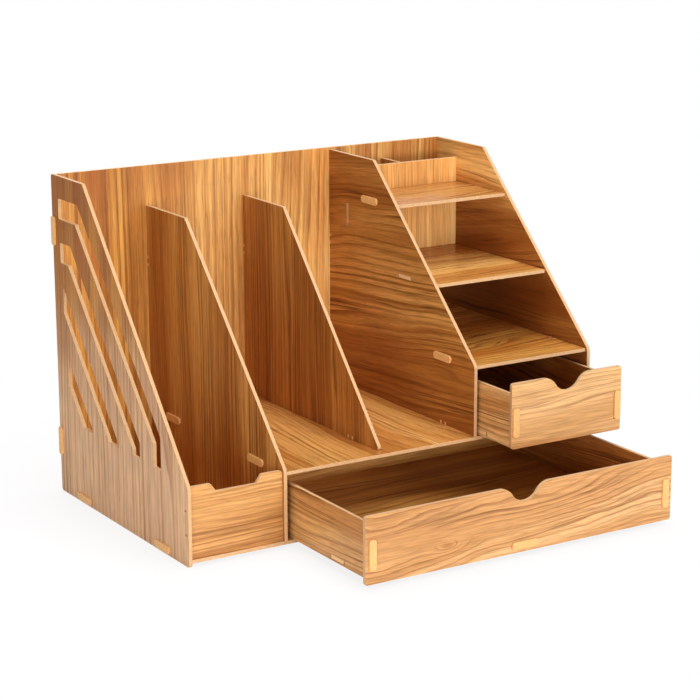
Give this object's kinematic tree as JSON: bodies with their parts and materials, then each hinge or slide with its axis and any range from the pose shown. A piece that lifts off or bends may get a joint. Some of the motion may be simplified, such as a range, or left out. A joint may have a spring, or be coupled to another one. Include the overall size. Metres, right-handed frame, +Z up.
{
  "type": "letter tray stack with drawers",
  "caption": "Desk organizer of thin boards: upright file bays, a stepped tower of shelves with pen bays, and two sliding drawers held together by tabs and clips.",
  "frame": {"origin": "below the middle of the whole organizer as it stands with both drawers part open, at floor level", "axes": "+X to the right seen from the front, +Y to the back panel, +Z up"},
  "size_m": [0.4252, 0.3833, 0.3],
  "materials": {
    "carcass_board": "satin",
    "drawer_board": "satin",
    "clip": "satin"
  },
  "bodies": {
    "carcass": {"left_side_panel": "carcass_board", "right_side_panel": "carcass_board", "back_panel": "carcass_board", "base_panel": "carcass_board", "middle_shelf": "carcass_board", "tower_shelf_low": "carcass_board", "tower_shelf_mid": "carcass_board", "tower_shelf_top": "carcass_board", "file_divider_left": "carcass_board", "file_divider_right": "carcass_board", "tower_panel": "carcass_board", "pen_plate": "carcass_board", "pen_divider": "carcass_board", "file_plate": "carcass_board", "left_panel_clips": "clip", "right_panel_clips": "clip", "divider_clips": "clip", "tower_clips": "clip", "back_panel_clips": "clip", "shelf_clips": "clip"},
    "large_drawer": {"large_drawer_front": "drawer_board", "large_drawer_clips": "clip", "large_drawer_left_side": "drawer_board", "large_drawer_right_side": "drawer_board", "large_drawer_back": "drawer_board", "large_drawer_bottom": "drawer_board"},
    "small_drawer": {"small_drawer_front": "drawer_board", "small_drawer_clips": "clip", "small_drawer_left_side": "drawer_board", "small_drawer_right_side": "drawer_board", "small_drawer_back": "drawer_board", "small_drawer_bottom": "drawer_board"}
  },
  "joints": [
    {"name": "large_drawer_slide", "type": "slide", "parent": "carcass", "child": "large_drawer", "axis": [0, -1, 0], "range_m": [-0.1212, 0.08]},
    {"name": "small_drawer_slide", "type": "slide", "parent": "carcass", "child": "small_drawer", "axis": [0, -1, 0], "range_m": [-0.051, 0.14]}
  ]
}
